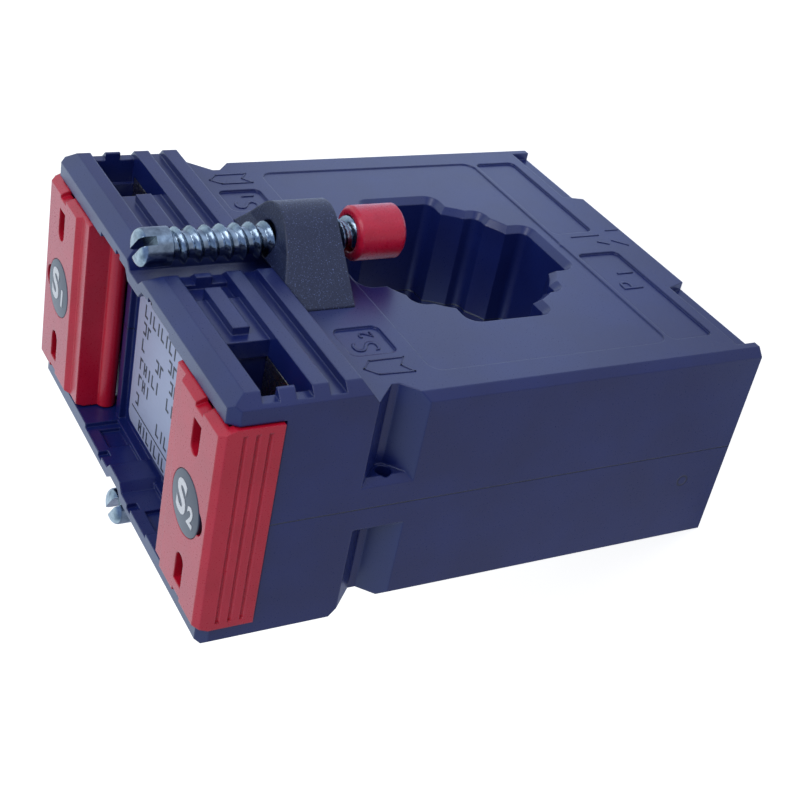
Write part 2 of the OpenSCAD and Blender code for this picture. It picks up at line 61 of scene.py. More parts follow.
# Marker discs: the rounding of the rim, how thick the print is, and where its two signs sit.
DISC_ROUND = 0.00015
DISC_PRINT = 0.00005
DISC_LETTER = {"size": 0.0060, "fat": 0.00017, "at": (-0.0011, 0, 0)}
DISC_DIGIT = {"size": 0.0033, "fat": 0.00011, "at": (0.0017, -0.0008, 0)}

# Clamp screws: thread radius and depth, the underside of the head, its rounding, and its slot.
CLAMP_RADIUS = 0.0023
CLAMP_THREAD = 0.00062
HEAD_UNDER = 0.0698
HEAD_ROUND = 0.0009
SLOT_TURNS = {"front": math.radians(47), "rear": math.radians(54)}

# Terminal screws: the height of the head, and its rounding.
TERMINAL_HEAD = 0.0023
TERMINAL_ROUND = 0.0006

# The floor of the raised panels, and the face round them, as distances from Y = 0.
PANEL_Y = 0.0147
FACE_Y = 0.015
# Arrows moulded on the faces, as open or closed outlines of (X, Z) in millimetres.
MOULDED_OUTLINES = (
    ((-23.5, 54.7), (-22.1, 53.4), (-22.1, 48.9), (-23.6, 49.95), (-25.1, 48.9), (-24.9, 53.4), (-23.5, 54.7)),
    ((24.1, 54.6), (25.4, 53.3), (25.5, 48.8), (24.1, 49.9), (22.8, 48.8), (22.8, 53.3), (24.1, 54.6)),
    ((1.7, 9.2), (1.7, 4.6)), ((-0.1, 5.9), (-0.9, 4.5)), ((0.0, 3.4), (-1.6, 1.6)), ((2.8, 2.5), (2.8, 0.5)))
# A moulded stroke's half width, and how far it stands out, in millimetres.
STROKE_HALF, STROKE_RISE = 0.09, 0.08

# Rows of the label's print, in millimetres: the middle in Y, then where each field starts and stops in X.
LABEL_ROWS = (
    (-10.6, ((8.2, -2.0),)), (-7.9, ((8.2, -4.0),)), (-5.3, ((8.2, -3.5),)), (-2.8, ((8.2, 4.3), (-1.0, -6.0))),
    (-0.3, ((8.2, 7.1), (3.0, 0.5), (-2.0, -8.0))), (2.6, ((8.2, 0.0), (-1.5, -7.0))), (5.2, ((8.2, 4.2),)),
    (8.1, ((8.4, 6.0), (0.8, -7.5))), (11.4, ((6.6, -7.5),)))
# Strokes of each sign: from, to along the row, then from, to across it.
LABEL_SIGNS = (((0.0, 0.36, -0.9, 0.9), (0.36, 1.05, -0.9, -0.56)),
               ((0.0, 1.05, -0.9, -0.56), (0.0, 1.05, 0.56, 0.9), (0.69, 1.05, -0.56, 0.56)),
               ((0.35, 0.72, -0.9, 0.9),),
               ((0.36, 0.69, -0.18, 0.18), (0.0, 0.36, -0.9, 0.9), (0.69, 1.05, -0.9, 0.9)),
               ((0.0, 1.05, 0.56, 0.9), (0.0, 0.36, -0.9, 0.56)))
LABEL_RULE = (-9.6, 9.5, 9.85, 10.05)
SIGN_LENGTH, SIGN_PITCH, INK_HEIGHT = 1.0, 1.45, 0.00002

# Tint of the light, and where the camera stands: its place, and its right, up and back directions.
LIGHT_TINT = (0.93, 0.96, 1.0)
CAMERA_PLACE = (-0.14067256, -0.09984366, 0.12969155)
CAMERA_AXES = ((-0.45827259, -0.1834013, -0.86968396), (0.55244232, -0.82528974, -0.11706547),
               (-0.69627129, -0.53409812, 0.47952631))


# ---------------------------------------------------------------- nodes and colours

def linear(code):
    """The linear colour of an sRGB hex code."""
    parts = [int(code[i:i + 2], 16) / 255 for i in (1, 3, 5)]
    return tuple(c / 12.92 if c <= 0.04045 else ((c + 0.055) / 1.055) ** 2.4 for c in parts) + (1.0,)


def add(tree, kind, inputs=None, **settings):
    """Adds one node with its settings, and fills or links its inputs."""
    made = tree.nodes.new(kind)
    for name, value in settings.items():
        setattr(made, name, value)
    for key, value in (inputs or {}).items():
        if isinstance(value, bpy.types.NodeSocket):
            tree.links.new(value, made.inputs[key])
        else:
            made.inputs[key].default_value = value
    return made


def new_material(name):
    """An empty node material, its tree and its Principled shader."""
    material = bpy.data.materials.new(name)
    material.use_nodes = True
    tree = material.node_tree
    tree.nodes.clear()
    shader = add(tree, "ShaderNodeBsdfPrincipled")
    add(tree, "ShaderNodeOutputMaterial", {"Surface": shader.outputs[0]})
    return material, tree, shader


def link(tree, shader, **sockets):
    """Links or sets the shader's sockets, whose names are written with _ for a space."""
    for name, value in sockets.items():
        socket = shader.inputs[name.replace("_", " ")]
        if isinstance(value, bpy.types.NodeSocket):
            tree.links.new(value, socket)
        else:
            socket.default_value = value


def math_node(tree, operation, a, b=0.0, clamp=False):
    """One arithmetic step, as a socket, kept between 0 and 1 if clamp is set."""
    return add(tree, "ShaderNodeMath", {0: a, 1: b}, operation=operation, use_clamp=clamp).outputs[0]


def place(tree):
    """Object coordinates in metres, as a socket."""
    return add(tree, "ShaderNodeTexCoord").outputs["Object"]


def noise(tree, where, size, detail=3.0, rough=0.55):
    """Noise whose grains are about size metres across."""
    return add(tree, "ShaderNodeTexNoise", {"Vector": where, "Scale": 1 / size, "Detail": detail,
                                            "Roughness": rough}).outputs["Fac"]


def ramp(tree, fac, *stops):
    """A colour ramp through (position, colour) stops, as a colour socket."""
    made = add(tree, "ShaderNodeValToRGB", {"Fac": fac})
    bar = made.color_ramp
    while len(bar.elements) < len(stops):
        bar.elements.new(0.5)
    for element, (position, colour) in zip(bar.elements, stops):
        element.position, element.color = position, colour
    return made.outputs["Color"]


def spread(tree, fac, low, high, start=0.0, stop=1.0):
    """fac between start and stop, spread over low to high."""
    return add(tree, "ShaderNodeMapRange", {"Value": fac, "From Min": start, "From Max": stop,
                                            "To Min": low, "To Max": high}).outputs[0]


def mixed(tree, factor, a, b):
    """Colour a where factor is 0 and colour b where it is 1."""
    made = add(tree, "ShaderNodeMix", {"Factor": factor, "A": a, "B": b}, data_type="RGBA")
    return next(socket for socket in made.outputs if socket.type == "RGBA")


def split(tree, where):
    """The X, Y and Z of a vector, as sockets."""
    return add(tree, "ShaderNodeSeparateXYZ", {0: where}).outputs


def round_window(tree, where):
    """Two sockets: how far along X, and how far up from the window's axis."""
    axes = split(tree, where)
    return axes["X"], math_node(tree, "SUBTRACT", axes["Z"], WINDOW_Z)


def softened(tree, radius):
    """The normal of an edge rounded by radius metres."""
    return add(tree, "ShaderNodeBevel", {"Radius": radius}, samples=6).outputs[0]


def bumped(tree, height, depth, normal=None):
    """The normal of a surface whose height socket, 0 to 1, stands depth metres high."""
    inputs = {"Height": height, "Distance": depth, "Strength": 1.0}
    if normal is not None:
        inputs["Normal"] = normal
    return add(tree, "ShaderNodeBump", inputs).outputs[0]


# ---------------------------------------------------------------- finishes

def housing_polycarbonate(look):
    """Moulded polycarbonate from a fine-ground tool: a navy black whose gloss shows the room as a haze."""
    material, tree, shader = new_material("housing_polycarbonate")
    where = place(tree)
    cloud = noise(tree, where, 9 * MM, 2)
    grain = noise(tree, where, 0.16 * MM, 2)
    base = ramp(tree, cloud, (0.35, linear(look.housing_dark)), (0.7, linear(look.housing_light)))
    # The two shells meet on a hairline at Y = 0, which gathers a little dust and shade.
    wander = spread(tree, noise(tree, where, 5 * MM), -0.00006, 0.00006)
    off = math_node(tree, "ABSOLUTE", math_node(tree, "ADD", split(tree, where)["Y"], wander))
    seam = spread(tree, off, 1.0, 0.0, 0.00003, 0.00012)
    # An ejector pin has left a ring of 1.5 mm low on the S2 side, painted dark as the shade round its dimple.
    pin = add(tree, "ShaderNodeVectorMath", {0: where, 1: (-0.030, 0.0047, 0.0063)}, operation="DISTANCE")
    rim = math_node(tree, "ABSOLUTE", math_node(tree, "SUBTRACT", pin.outputs["Value"], 0.00075))
    dust_and_shade_lines = math_node(tree, "MAXIMUM", seam, spread(tree, rim, 1.0, 0.0, 0.00008, 0.00022))
    # The seam darkens with dust and painted shade, the pin's ring with painted shade only.
    base = mixed(tree, math_node(tree, "MULTIPLY", dust_and_shade_lines, 0.75), base, linear("#05070F"))
    rough = spread(tree, grain, look.housing_roughness - 0.03, look.housing_roughness + 0.04, 0.3, 0.7)
    edge = softened(tree, look.edge_radius)
    skin = bumped(tree, grain, 0.000004, edge)
    link(tree, shader, Base_Color=base, Roughness=rough, IOR=1.56,
         Normal=bumped(tree, math_node(tree, "SUBTRACT", 1.0, dust_and_shade_lines), 0.00003, skin))
    return material


def cover_polycarbonate(look):
    """Red moulded polycarbonate: a satin gloss over a little depth."""
    material, tree, shader = new_material("cover_polycarbonate")
    where = place(tree)
    grain = noise(tree, where, 0.18 * MM, 2)
    cloud = noise(tree, where, 6 * MM, 2)
    base = ramp(tree, cloud, (0.3, linear(look.cover_dark)), (0.75, linear(look.cover_light)))
    link(tree, shader, Base_Color=base, IOR=1.57,
         Roughness=spread(tree, grain, look.cover_roughness - 0.04, look.cover_roughness + 0.05, 0.3, 0.7),
         Normal=bumped(tree, grain, 0.000004, softened(tree, look.edge_radius)),
         Subsurface_Weight=0.06, Subsurface_Scale=0.001, Subsurface_Radius=(1.0, 0.15, 0.12))
    return material


def cap_polyethylene(look):
    """Red polyethylene: waxy, a little translucent, with soft highlights."""
    material, tree, shader = new_material("cap_polyethylene")
    where = place(tree)
    wax = noise(tree, where, 0.5 * MM, 3)
    base = ramp(tree, noise(tree, where, 3 * MM), (0.3, linear(look.cap_dark)), (0.75, linear(look.cap_light)))
    link(tree, shader, Base_Color=base, IOR=1.5, Roughness=spread(tree, wax, 0.24, 0.34, 0.3, 0.7),
         Normal=bumped(tree, wax, 0.000018, softened(tree, 0.00045)),
         Subsurface_Weight=0.2, Subsurface_Scale=0.0015, Subsurface_Radius=(1.0, 0.12, 0.1))
    return material


def clip_glass_polyamide(look):
    """Glass-filled polyamide from a spark-eroded tool: a coarse sparkling grain of about 0.25 mm, drawn at full size
    because it shows, with its glints painted into the colour as light flecks."""
    material, tree, shader = new_material("clip_glass_polyamide")
    where = place(tree)
    pits = noise(tree, where, 0.30 * MM, 4, 0.7)
    # The light flecks are painted glints of the glass in the grain.
    painted_glints = spread(tree, noise(tree, where, 0.14 * MM, 1), 0.0, 1.0, 0.62, 0.78)
    base = mixed(tree, painted_glints, linear(look.clip_dark), linear(look.clip_glints))
    link(tree, shader, Base_Color=base, IOR=1.53, Roughness=spread(tree, pits, 0.30, 0.55, 0.3, 0.7),
         Normal=bumped(tree, pits, 0.00005, softened(tree, 0.0004)))
    return material


def plated_steel(name, tint, low, high, grain_size):
    """Zinc-plated steel: bright, faintly streaked and a little dull where the plating is thin."""
    material, tree, shader = new_material(name)
    where = place(tree)
    grain = noise(tree, where, grain_size, 4, 0.6)
    patch = noise(tree, where, 1.1 * MM, 3)
    base = ramp(tree, patch, (0.30, linear(tint[0])), (0.55, linear(tint[1])), (0.8, linear(tint[2])))
    link(tree, shader, Base_Color=base, Metallic=1.0, Roughness=spread(tree, grain, low, high, 0.3, 0.7),
         Normal=bumped(tree, grain, 0.000012, softened(tree, 0.00012)))
    return material


def strip_steel():
    """Grain-oriented steel strip wound in a ring: dull grey with its turns as fine rings, 0.3 mm apart."""
    material, tree, shader = new_material("strip_steel")
    where = place(tree)
    across, up = round_window(tree, where)
    away = math_node(tree, "SQRT", math_node(tree, "ADD", math_node(tree, "MULTIPLY", across, across),
                                             math_node(tree, "MULTIPLY", up, up)))
    turns = math_node(tree, "FRACT", math_node(tree, "MULTIPLY", away, 1 / (0.3 * MM)))
    base = ramp(tree, turns, (0.0, linear("#3C4046")), (0.25, linear("#868B92")), (1.0, linear("#7A7F86")))
    link(tree, shader, Base_Color=base, Metallic=1.0, Roughness=0.42, Normal=bumped(tree, turns, 0.00002))
    return material


def cup_polyamide():
    """Natural polyamide of the core's cups: cream, matt."""
    material, tree, shader = new_material("cup_polyamide")
    where = place(tree)
    base = ramp(tree, noise(tree, where, 4 * MM), (0.3, linear("#CFC6AC")), (0.7, linear("#DDD5BE")))
    link(tree, shader, Base_Color=base, Roughness=0.5, Normal=bumped(tree, noise(tree, where, 0.3 * MM), 0.00001))
    return material


def enamelled_copper():
    """Enamelled copper wire of 0.8 mm laid round the core, each turn a rounded rib that points outwards, with
    painted shade in the grooves between turns.
    """
    material, tree, shader = new_material("enamelled_copper")
    where = place(tree)
    across, up = round_window(tree, where)
    turn = math_node(tree, "ARCTAN2", up, across)
    rib = math_node(tree, "PINGPONG", math_node(tree, "MULTIPLY", turn, 180 / math.pi), 0.5)
    # The colour runs from dark in the grooves between turns to copper on each crest: painted shade.
    base = ramp(tree, rib, (0.0, linear("#4A1D0B")), (0.35, linear("#B4532A")))
    link(tree, shader, Base_Color=base, Metallic=1.0, Roughness=0.3, Coat_Weight=0.6, Coat_Roughness=0.1,
         Normal=bumped(tree, rib, 0.0003))
    return material


def polyester_tape():
    """Yellow polyester tape: thin, glossy, lapped about every 9 mm."""
    material, tree, shader = new_material("polyester_tape")
    where = place(tree)
    across, up = round_window(tree, where)
    turn = math_node(tree, "ARCTAN2", up, across)
    lap = math_node(tree, "FRACT", math_node(tree, "MULTIPLY", turn, 2.6))
    base = ramp(tree, lap, (0.0, linear("#A88E2E")), (0.08, linear("#D9C458")), (1.0, linear("#CDB64B")))
    link(tree, shader, Base_Color=base, Roughness=0.25, Coat_Weight=0.3, Normal=bumped(tree, lap, 0.00006))
    return material


def label_film(look):
    """Matt silver polyester film: faintly bluish, with a fine brushed streak and slight ripples."""
    material, tree, shader = new_material("label_film")
    where = place(tree)
    streak = add(tree, "ShaderNodeMapping", {"Vector": where, "Scale": (1, 9, 1)}).outputs[0]
    fine = noise(tree, streak, 0.8 * MM, 4)
    ripple = noise(tree, where, 4 * MM, 2)
    base = ramp(tree, fine, (0.3, linear(look.label_dark)), (0.7, linear(look.label_light)))
    link(tree, shader, Base_Color=base, Metallic=0.15, Roughness=spread(tree, fine, 0.34, 0.5, 0.3, 0.7),
         Normal=bumped(tree, ripple, 0.00004))
    return material


def pad_ink(name, code, roughness):
    """Cured printing ink: one thin matt coat with a faint mottle."""
    material, tree, shader = new_material(name)
    where = place(tree)
    mottle = noise(tree, where, 0.25 * MM, 3)
    r, g, b, _ = linear(code)
    base = ramp(tree, mottle, (0.3, (r * 0.85, g * 0.85, b * 0.85, 1)), (0.7, (r, g, b, 1)))
    link(tree, shader, Base_Color=base, Normal=bumped(tree, mottle, 0.000004),
         Roughness=spread(tree, mottle, roughness - 0.05, roughness + 0.05))
    return material


def disc_polycarbonate(look):
    """Black polycarbonate disc with a moulded gloss, rounded at its rim."""
    material, tree, shader = new_material("disc_polycarbonate")
    where = place(tree)
    grain = noise(tree, where, 0.2 * MM, 2)
    base = ramp(tree, grain, (0.3, linear(look.disc_dark)), (0.7, linear(look.disc_light)))
    link(tree, shader, Base_Color=base, Roughness=spread(tree, grain, 0.28, 0.36, 0.3, 0.7),
         Normal=bumped(tree, grain, 0.000004), IOR=1.56)
    return material


# ---------------------------------------------------------------- shapes

def mesh_object(name, mesh, material=None):
    """An object at the origin for a mesh, with that one material if it is given."""
    made = bpy.data.objects.new(name, mesh)
    bpy.context.scene.collection.objects.link(made)
    if material is not None:
        mesh.materials.clear()
        mesh.materials.append(material)
    return made


def plain_mesh(thing, name):
    """The evaluated mesh of an object, which is then removed with its modifiers."""
    bpy.context.view_layer.update()
    depsgraph = bpy.context.evaluated_depsgraph_get()
    mesh = bpy.data.meshes.new_from_object(thing.evaluated_get(depsgraph), depsgraph=depsgraph)
    mesh.transform(thing.matrix_world)
    mesh.name = name
    bpy.data.objects.remove(thing)
    return mesh


def rounded_rim(radius, top, rounding, angles):
    """(radius, height) pairs that round a disc's upper rim at the given angles."""
    return [(radius - rounding * (1 - math.cos(a)), top - rounding * (1 - math.sin(a))) for a in angles]


def turned(profile, steps, axis):
    """A mesh turned about an upright axis from (radius, height) pairs that start and end on the axis."""
    shape = bmesh.new()
    rings = []
    for radius, height in profile:
        ring = []
        for i in range(1 if radius == 0 else steps):
            angle = 2 * math.pi * i / steps
            spot = (axis[0] + radius * math.cos(angle), axis[1] + radius * math.sin(angle), height)
            ring.append(shape.verts.new(spot))
        rings.append(ring)
    for low, high in zip(rings, rings[1:]):
        for i in range(steps):
            j = (i + 1) % steps
            corners = [low[i % len(low)], low[j % len(low)], high[j % len(high)], high[i % len(high)]]
            corners = list(dict.fromkeys(corners))  # a ring on the axis has one corner
            if len(corners) > 2:
                shape.faces.new(corners)
    bmesh.ops.recalc_face_normals(shape, faces=shape.faces)
    mesh = bpy.data.meshes.new("turned")
    shape.to_mesh(mesh)
    shape.free()
    return mesh


def block(low, high):
    """A box mesh between two corners."""
    shape = bmesh.new()
    bmesh.ops.create_cube(shape, size=1.0)
    size = [h - l for l, h in zip(low, high)]
    middle = [(l + h) / 2 for l, h in zip(low, high)]
    sized = Matrix.Translation(middle) @ Matrix.Diagonal((*size, 1))
    bmesh.ops.transform(shape, matrix=sized, verts=shape.verts)
    mesh = bpy.data.meshes.new("block")
    shape.to_mesh(mesh)
    shape.free()
    return mesh


def joined(name, meshes, material=None, smooth=None):
    """One mesh from several, with sharp edges past smooth degrees if that is given."""
    shape = bmesh.new()
    for mesh in meshes:
        shape.from_mesh(mesh)
        bpy.data.meshes.remove(mesh)
    if smooth is not None:
        for face in shape.faces:
            face.smooth = True
        for edge in shape.edges:
            edge.smooth = edge.is_manifold and edge.calc_face_angle(3.2) < math.radians(smooth)
    mesh = bpy.data.meshes.new(name)
    shape.to_mesh(mesh)
    shape.free()
    if material is not None:
        mesh.materials.append(material)
    return mesh


def cut(mesh, cutter, name):
    """mesh with cutter taken out of it."""
    body, tool = mesh_object("cut_body", mesh), mesh_object("cut_tool", cutter)
    step = body.modifiers.new("cut", "BOOLEAN")
    step.object, step.operation, step.solver = tool, "DIFFERENCE", "EXACT"
    made = plain_mesh(body, name)
    bpy.data.objects.remove(tool)
    return made


def lettering(words, size, thick, fat=0.0):
    """A mesh of flat letters in the XY plane, centred on the origin, from Z 0 to thick."""
    curve = bpy.data.curves.new("lettering", "FONT")
    curve.body, curve.size, curve.extrude, curve.offset = words, size, thick / 2, fat
    curve.align_x, curve.align_y = "CENTER", "CENTER"
    curve.resolution_u = 6
    text = bpy.data.objects.new("lettering", curve)
    bpy.context.scene.collection.objects.link(text)
    text.matrix_world = Matrix.Translation((0, 0, thick / 2))
    return plain_mesh(text, "lettering")


def thread_tree():
    """A thread as a rule: the radius of each point follows its height and its angle."""
    tree = bpy.data.node_groups.new("screw_thread", "GeometryNodeTree")
    sockets = {}
    for label, value in (("Outer Radius", 0.0023), ("Core Radius", 0.0016), ("Pitch", 0.0019),
                         ("Length", 0.02), ("Top", 0.0), ("Crest Share", 0.5)):
        made = tree.interface.new_socket(label, in_out="INPUT", socket_type="NodeSocketFloat")
        made.default_value = value
        sockets[label] = made.identifier
    for label in ("Around", "Along"):
        made = tree.interface.new_socket(label, in_out="INPUT", socket_type="NodeSocketInt")
        made.default_value = 48
        sockets[label] = made.identifier
    made = tree.interface.new_socket("Finish", in_out="INPUT", socket_type="NodeSocketMaterial")
    sockets["Finish"] = made.identifier
    tree.interface.new_socket("Geometry", in_out="OUTPUT", socket_type="NodeSocketGeometry")
    given = add(tree, "NodeGroupInput").outputs
    grid = add(tree, "GeometryNodeMeshGrid", {"Size X": 1.0, "Size Y": 1.0, "Vertices X": given["Around"],
                                              "Vertices Y": given["Along"]})
    at = add(tree, "ShaderNodeSeparateXYZ", {0: add(tree, "GeometryNodeInputPosition").outputs[0]}).outputs
    turn = math_node(tree, "ADD", at["X"], 0.5)
    down = math_node(tree, "ADD", at["Y"], 0.5)
    height = math_node(tree, "SUBTRACT", given["Top"], math_node(tree, "MULTIPLY", down, given["Length"]))
    climb = math_node(tree, "SUBTRACT", math_node(tree, "DIVIDE", height, given["Pitch"]), turn)
    phase = math_node(tree, "FRACT", climb)
    flank = math_node(tree, "DIVIDE", math_node(tree, "ABSOLUTE", math_node(tree, "SUBTRACT", phase, 0.5)),
                      math_node(tree, "MULTIPLY", given["Crest Share"], 0.5))
    rise = math_node(tree, "SUBTRACT", 1.0, flank, clamp=True)
    rise = math_node(tree, "POWER", rise, 0.75)
    # The thread runs out over its last turn and the two ends close on the axis.
    run_out = math_node(tree, "MULTIPLY", math_node(tree, "SUBTRACT", 1.0, down), 14.0, clamp=True)
    depth = math_node(tree, "MULTIPLY", math_node(tree, "SUBTRACT", given["Outer Radius"], given["Core Radius"]),
                      math_node(tree, "MULTIPLY", rise, run_out))
    radius = math_node(tree, "ADD", given["Core Radius"], depth)
    inside = math_node(tree, "MULTIPLY", math_node(tree, "GREATER_THAN", down, 0.0005),
                       math_node(tree, "LESS_THAN", down, 0.9995))
    radius = math_node(tree, "MULTIPLY", radius, inside)
    angle = math_node(tree, "MULTIPLY", turn, 2 * math.pi)
    spot = add(tree, "ShaderNodeCombineXYZ", {
        "X": math_node(tree, "MULTIPLY", radius, math_node(tree, "COSINE", angle)),
        "Y": math_node(tree, "MULTIPLY", radius, math_node(tree, "SINE", angle)), "Z": height})
    bent = add(tree, "GeometryNodeSetPosition", {"Geometry": grid.outputs["Mesh"], "Position": spot.outputs[0]})
    sewn = add(tree, "GeometryNodeMergeByDistance", {"Geometry": bent.outputs[0], "Distance": 1e-6})
    smooth = add(tree, "GeometryNodeSetShadeSmooth", {"Geometry": sewn.outputs[0]})
    real = add(tree, "GeometryNodeRealizeInstances", {"Geometry": smooth.outputs[0]})
    finish = add(tree, "GeometryNodeSetMaterial", {"Geometry": real.outputs[0], "Material": given["Finish"]})
    add(tree, "NodeGroupOutput", {"Geometry": finish.outputs[0]})
    return tree, sockets


def threaded(tree, sockets, axis, steel, **sizes):
    """A threaded rod mesh about an upright axis. A size's name is its socket's, with _ for a space."""
    holder = mesh_object("thread_holder", bpy.data.meshes.new("thread_holder"))
    step = holder.modifiers.new("thread", "NODES")
    step.node_group = tree
    for label, value in sizes.items():
        step[sockets[label.replace("_", " ")]] = value
    step[sockets["Finish"]] = steel
    mesh = plain_mesh(holder, "thread")
    mesh.transform(Matrix.Translation((axis[0], axis[1], 0)))
    shape = bmesh.new()
    shape.from_mesh(mesh)
    bmesh.ops.recalc_face_normals(shape, faces=shape.faces)
    shape.to_mesh(mesh)
    shape.free()
    return mesh


# ---------------------------------------------------------------- settings

def colour(label, what, code):
    """A setting that holds a colour."""
    return bpy.props.StringProperty(name=label, description=f"{what}, as sRGB hex", default=code)


def length(label, what, value, least, most):
    """A setting that holds a length in metres."""
    return bpy.props.FloatProperty(name=label, description=what, default=value, min=least, max=most,
                                   subtype="DISTANCE", unit="LENGTH", precision=5)


def share(label, what, value):
    """A setting that holds a roughness."""
    return bpy.props.FloatProperty(name=label, description=what, default=value, min=0.05, max=0.9)


def power(label, what, value):
    """A setting that holds a lamp's power."""
    return bpy.props.FloatProperty(name=label, description=what, default=value, min=0.0, unit="POWER")


class TransformerLook(bpy.types.PropertyGroup):
    """The sizes and colours that a user would change."""

    housing_dark: colour("Housing, dark", "Darker colour of the shells", "#111C58")
    housing_light: colour("Housing, light", "Lighter colour of the shells", "#152364")
    housing_roughness: share("Housing roughness", "How much the shells blur what they reflect", 0.3)
    edge_radius: length("Edge radius", "Rounding of the moulded edges", 0.00028, 0.0, 0.001)
    cover_dark: colour("Covers, dark", "Darker colour of the terminal covers", "#BC0C2A")
    cover_light: colour("Covers, light", "Lighter colour of the terminal covers", "#CA1434")
    cover_roughness: share("Cover roughness", "How much the covers blur what they reflect", 0.3)
    cap_dark: colour("Caps, dark", "Darker colour of the pressure caps", "#BC1034")
    cap_light: colour("Caps, light", "Lighter colour of the pressure caps", "#D41E42")
    clip_dark: colour("Clips", "Colour of the clamp clips", "#0F1838")
    # The clip flecks are the glass in the grain, with its sparkle painted in as a light colour.
    clip_glints: colour("Clip flecks", "Colour of the glass flecks in the clips", "#6A7AAC")
    label_dark: colour("Label, dark", "Darker colour of the label film", "#A9B2D0")
    label_light: colour("Label, light", "Lighter colour of the label film", "#B4BDDA")
    disc_dark: colour("Discs, dark", "Darker colour of the marker discs", "#1C2038")
    disc_light: colour("Discs, light", "Lighter colour of the marker discs", "#232840")
    clamp_pitch: length("Clamp thread pitch", "Rise of the clamp screws in a turn", 0.0019, 0.0005, 0.004)
    terminal_pitch: length("Terminal thread pitch", "Rise of the terminal screws in a turn", 0.0008, 0.0003, 0.002)


class TransformerStage(bpy.types.PropertyGroup):
    """The light and the lens."""

    key_power: power("Key light", "Power of the large soft light over the front face", 5.2)
    fill_power: power("Fill light", "Power of the soft light on the side", 0.08)
    ambient: bpy.props.FloatProperty(name="Ambient", description="Strength of the even light from all round",
                                     default=0.36, min=0.0, max=2.0)
    lens: bpy.props.FloatProperty(name="Lens", description="Focal length in millimetres on a 36 mm sensor",
                                  default=65.118, min=10.0, max=300.0)


# Plated steels: the material's name, its three tints, its least and most roughness, and its grain.
STEELS = {
    "clamp_screw": ("clamp_screw_zinc", ("#66727C", "#88959E", "#A8B3B8"), 0.12, 0.26, 0.25 * MM),
    "terminal_screw": ("terminal_screw_zinc", ("#A5A9AE", "#C3C6CA", "#D5D7DA"), 0.18, 0.34, 0.25 * MM),
    "clamp_plate": ("clamp_plate_zinc", ("#9FA3A8", "#B9BDC2", "#CDD0D4"), 0.24, 0.42, 0.2 * MM),
    "rail": ("rail_nickel", ("#B4AC9C", "#CBC5B8", "#D9D4C9"), 0.22, 0.36, 0.3 * MM),
}
FINISHES = {}


def finish(name):
    """The finish of that name, which is made at its first use."""
    if name not in FINISHES:
        look = bpy.context.scene.transformer_look
        FINISHES[name] = {
            "housing": lambda: housing_polycarbonate(look),
            "cover": lambda: cover_polycarbonate(look),
            "cap": lambda: cap_polyethylene(look),
            "clip": lambda: clip_glass_polyamide(look),
            "core": strip_steel,
            "cup": cup_polyamide,
            "copper": enamelled_copper,
            "tape": polyester_tape,
            "label": lambda: label_film(look),
            "disc": lambda: disc_polycarbonate(look),
            "ink": lambda: pad_ink("label_ink", "#23283A", 0.5),
            "white_ink": lambda: pad_ink("marker_white_ink", "#F2F4FA", 0.4),
            **{key: lambda row=row: plated_steel(*row) for key, row in STEELS.items()},
        }[name]()
    return FINISHES[name]


def coat(names, finish_name):
    """Gives CAD nodes a finish through their objects' material slots."""
    for name in names:
        thing = NODES[name]
        if not thing.material_slots:
            thing.data.materials.append(None)
        for slot in thing.material_slots:
            slot.link = "OBJECT"
            slot.material = finish(finish_name)


class Piece:
    """What every operator of this file shares."""

    bl_options = {"REGISTER", "UNDO"}


class TRANSFORMER_OT_housing(Piece, bpy.types.Operator):
    """Finishes the two shells, the clips and the caps"""

    bl_idname = "transformer.housing"
    bl_label = "Housing, clips and caps"

    def execute(self, context):
        coat(["front_shell", "rear_shell"], "housing")
        coat(["front_clip", "rear_clip"], "clip")
        coat(["front_cap", "rear_cap"], "cap")
        return {"FINISHED"}


class TRANSFORMER_OT_covers(Piece, bpy.types.Operator):
    """Finishes the hinged terminal covers"""

    bl_idname = "transformer.covers"
    bl_label = "Terminal covers"

    def execute(self, context):
        coat(["cover_s1", "cover_s2"], "cover")
        return {"FINISHED"}


class TRANSFORMER_OT_markers(Piece, bpy.types.Operator):
    """Makes the marker discs with their printed terminal designations"""

    bl_idname = "transformer.markers"
    bl_label = "Marker discs"

    def execute(self, context):
        for side in SIDES:
            low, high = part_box(f"marker_{side}")
            middle, radius = (low + high) / 2, (high.x - low.x) / 2
            top = high.z - DISC_PRINT
            profile = [(0, low.z), (radius - DISC_ROUND, low.z), (radius, low.z + DISC_ROUND),
                       (radius, top - DISC_ROUND)]
            profile += rounded_rim(radius, top, DISC_ROUND, (0.4, 0.8, 1.2, 1.57)) + [(0, top)]
            shape = turned(profile, 72, (middle.x, middle.y))
            disc = mesh_object(f"marker_disc_{side}", joined(f"marker_disc_{side}", [shape], finish("disc"), 40))
            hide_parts(f"marker_{side}")
            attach(disc, f"cover_{side}")
            # The letters read along -X on both discs, with their tops towards -Y.
            turn = Matrix.Rotation(math.pi, 4, "Z")
            signs = []
            for words, sign in (("S", DISC_LETTER), (side[1], DISC_DIGIT)):
                signs.append(lettering(words, sign["size"], DISC_PRINT, sign["fat"]))
                signs[-1].transform(Matrix.Translation(sign["at"]))
            print_mesh = joined(f"marker_print_{side}", signs)
            print_mesh.transform(Matrix.Translation((middle.x, middle.y, top)) @ turn)
            print_mesh.materials.append(finish("white_ink"))
            piece = mesh_object(f"marker_print_{side}", print_mesh)
            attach(piece, f"cover_{side}")
        return {"FINISHED"}


